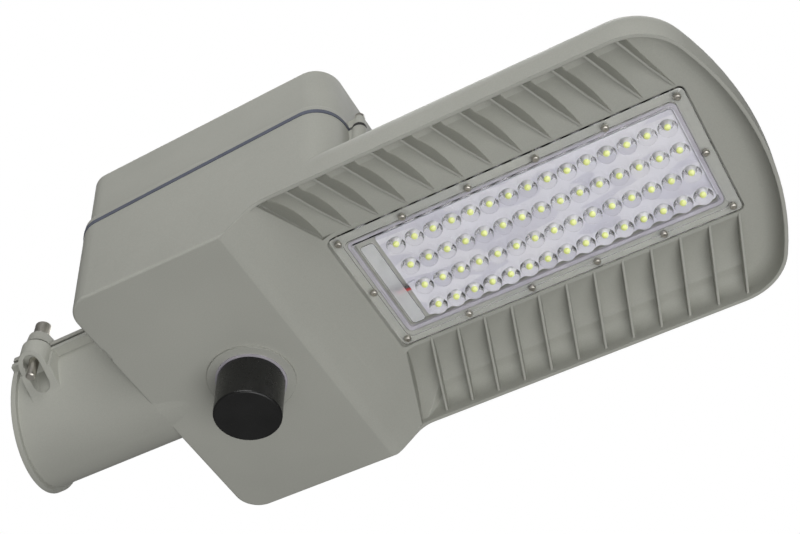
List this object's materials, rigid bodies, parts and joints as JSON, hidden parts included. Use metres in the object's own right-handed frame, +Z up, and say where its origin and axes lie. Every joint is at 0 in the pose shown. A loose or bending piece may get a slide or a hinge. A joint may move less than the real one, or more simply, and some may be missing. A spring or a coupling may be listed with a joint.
{
  "type": "solar street lamp head",
  "caption": "Solar street lamp head: pole clamp, battery box under a hinged cover, twist-off sensor cap and a finned LED nose with a clear lens cover.",
  "frame": {"origin": "on the axis of the pole clamp bore, 16 mm inside the middle of its mouth", "axes": "+X from the pole clamp to the nose, +Z up (the light shines to -Z), +Y across the lamp"},
  "size_m": [0.4976, 0.2, 0.1718],
  "materials": {
    "housing_paint": "grey-green powder coat, fine texture",
    "cover_paint": "grey-green powder coat, fine texture",
    "clamp_paint": "grey-green powder coat, fine texture",
    "seal_blue_grey": "matt silicone seal",
    "seal_black": "matt rubber",
    "seal_lilac": "matt silicone seal",
    "stainless": "turned stainless steel",
    "steel_pin": "ground steel",
    "lens_clear": "clear polished polycarbonate",
    "film_frosted": "frosted film",
    "board_white": "white solder mask on aluminium",
    "led_phosphor": "yellow phosphor under silicone",
    "pad_grey": "thermal pad",
    "sensor_gloss_black": "glossy black plastic",
    "socket_black": "moulded plastic",
    "pcb_green": "green solder mask",
    "cell_wrap": "shrink wrapped metal cell",
    "spacer_black": "moulded plastic",
    "nickel": "nickel strip",
    "tray_zinc": "zinc plated sheet",
    "controller_black": "black anodised",
    "terminal_green": "moulded plastic",
    "gland_black": "moulded nylon",
    "earth_brass": "bright brass",
    "wire_red": "silicone insulation",
    "wire_black": "silicone insulation"
  },
  "bodies": {
    "housing": {"housing": "housing_paint", "clamp_hinge_pin": "steel_pin", "cover_gasket": "seal_blue_grey", "cover_hinge_pins": "steel_pin", "cover_screw_seals": "seal_black", "lens_cover": "lens_clear", "lens_gasket": "seal_lilac", "lens_screws": "stainless", "led_board": "board_white", "led_chips": "led_phosphor", "led_connector": "board_white", "thermal_pad": "pad_grey", "lead_shield": "film_frosted", "lead_grommet": "seal_black", "sensor_base": "socket_black", "sensor_seal": "seal_lilac", "sensor_locknut": "socket_black", "sensor_board": "pcb_green", "battery_cells": "cell_wrap", "battery_spacers": "spacer_black", "battery_strips": "nickel", "battery_protection_board": "pcb_green", "battery_cradle": "tray_zinc", "mounting_tray": "tray_zinc", "tray_screws": "stainless", "controller_case": "controller_black", "controller_screws": "stainless", "terminal_block": "terminal_green", "terminal_screws": "nickel", "gland_body": "gland_black", "gland_seal": "seal_black", "gland_locknut": "gland_black", "gland_cap": "gland_black", "earth_screw": "earth_brass", "earth_washer": "earth_brass", "led_lead_black": "wire_black", "led_lead_red": "wire_red"},
    "cover": {"cover": "cover_paint"},
    "cover_screw_left": {"cover_screw_left": "stainless"},
    "cover_screw_right": {"cover_screw_right": "stainless"},
    "clamp_cap": {"clamp_cap": "clamp_paint"},
    "clamp_bolt": {"clamp_bolt": "stainless", "clamp_flat_washer": "stainless", "clamp_spring_washer": "stainless"},
    "sensor_cap": {"sensor_cap": "sensor_gloss_black"}
  },
  "joints": [
    {"name": "cover_hinge", "type": "hinge", "parent": "housing", "child": "cover", "pos_m": [0.066, 0, 0.036], "axis": [0, -1, 0], "range_deg": [0, 68]},
    {"name": "cover_screw_left_lift", "type": "slide", "parent": "cover", "child": "cover_screw_left", "axis": [0, 0, 1], "range_m": [0, 0.008]},
    {"name": "cover_screw_right_lift", "type": "slide", "parent": "cover", "child": "cover_screw_right", "axis": [0, 0, 1], "range_m": [0, 0.008]},
    {"name": "clamp_cap_hinge", "type": "hinge", "parent": "housing", "child": "clamp_cap", "pos_m": [0.033, 0.05, 0], "axis": [-1, 0, 0], "range_deg": [0, 4]},
    {"name": "clamp_bolt_travel", "type": "slide", "parent": "housing", "child": "clamp_bolt", "axis": [0, 0, 1], "range_m": [0, 0.0078]},
    {"name": "sensor_cap_twist", "type": "hinge", "parent": "housing", "child": "sensor_cap", "pos_m": [0.1446, 0, -0.06], "axis": [0, 0, 1], "range_deg": [0, 35]}
  ],
  "couplings": [
    {"joint": "clamp_bolt_travel", "follows": "clamp_cap_hinge", "m_per_rad": 0.1095}
  ]
}
